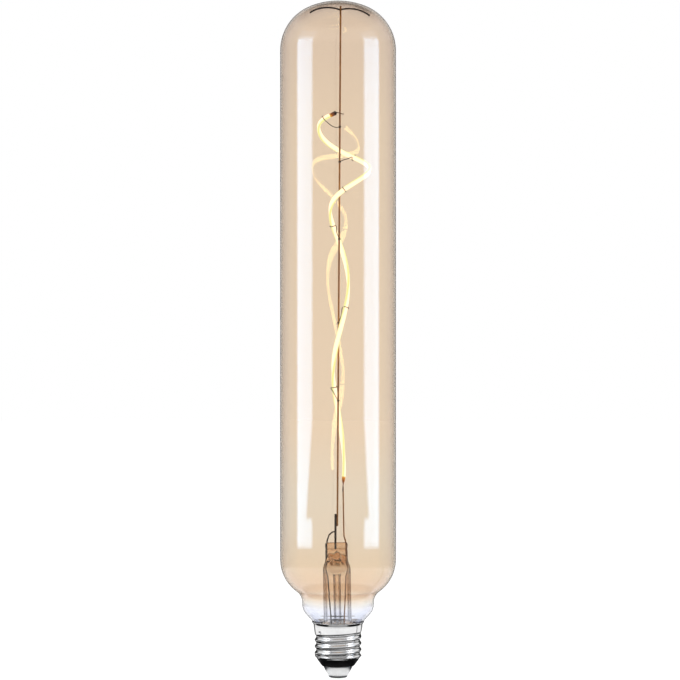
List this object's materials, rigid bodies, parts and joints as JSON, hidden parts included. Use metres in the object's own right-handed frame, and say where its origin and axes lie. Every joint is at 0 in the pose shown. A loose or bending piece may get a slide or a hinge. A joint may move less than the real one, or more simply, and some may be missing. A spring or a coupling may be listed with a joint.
{
  "type": "tubular light bulb",
  "caption": "Long tubular light bulb of amber-tinted glass, with a soft glowing strip wound round a support rod on wire hooks, a pressed glass stem and a threaded metal screw cap.",
  "frame": {"origin": "centre of the flat face of the centre contact, on the lamp axis", "axes": "+Z along the lamp axis from the centre contact to the dome, -Y towards the front seen in the picture, +X to its right"},
  "size_m": [0.065, 0.065, 0.38],
  "materials": {
    "amber_glass": "clear and glossy, amber tint that fades out at the neck",
    "clear_glass": "clear and glossy",
    "plated_cap": "bright plated sheet",
    "cement": "matte",
    "black_insulator": "semi-gloss",
    "contact_metal": "satin",
    "wire_metal": "oxidised drawn wire",
    "glowing_strip": "soft translucent coating, lit",
    "terminal_metal": "dark, amber where the coating ends",
    "board": "satin",
    "capacitor_can": "satin",
    "component_black": "matte",
    "resistor_body": "matte"
  },
  "bodies": {
    "root": {"glass_envelope": "amber_glass", "stem_tube": "clear_glass", "exhaust_tube": "clear_glass", "screw_cap": "plated_cap", "base_cement": "cement", "cap_insulator": "black_insulator", "centre_contact": "contact_metal", "lead_wire_left": "wire_metal", "lead_wire_right": "wire_metal", "rod_stub": "wire_metal", "support_rod": "wire_metal", "top_bow": "wire_metal", "filament_hook_1": "wire_metal", "filament_hook_2": "wire_metal", "filament_hook_3": "wire_metal", "filament_hook_4": "wire_metal", "filament_hook_5": "wire_metal", "filament_hook_6": "wire_metal", "side_contact_wire": "wire_metal", "led_filament": "glowing_strip", "filament_terminal_upper": "terminal_metal", "filament_terminal_lower": "terminal_metal", "driver_board": "board", "smoothing_capacitor": "capacitor_can", "bridge_rectifier": "component_black", "driver_chip": "component_black", "fuse_resistor": "resistor_body"}
  },
  "joints": []
}
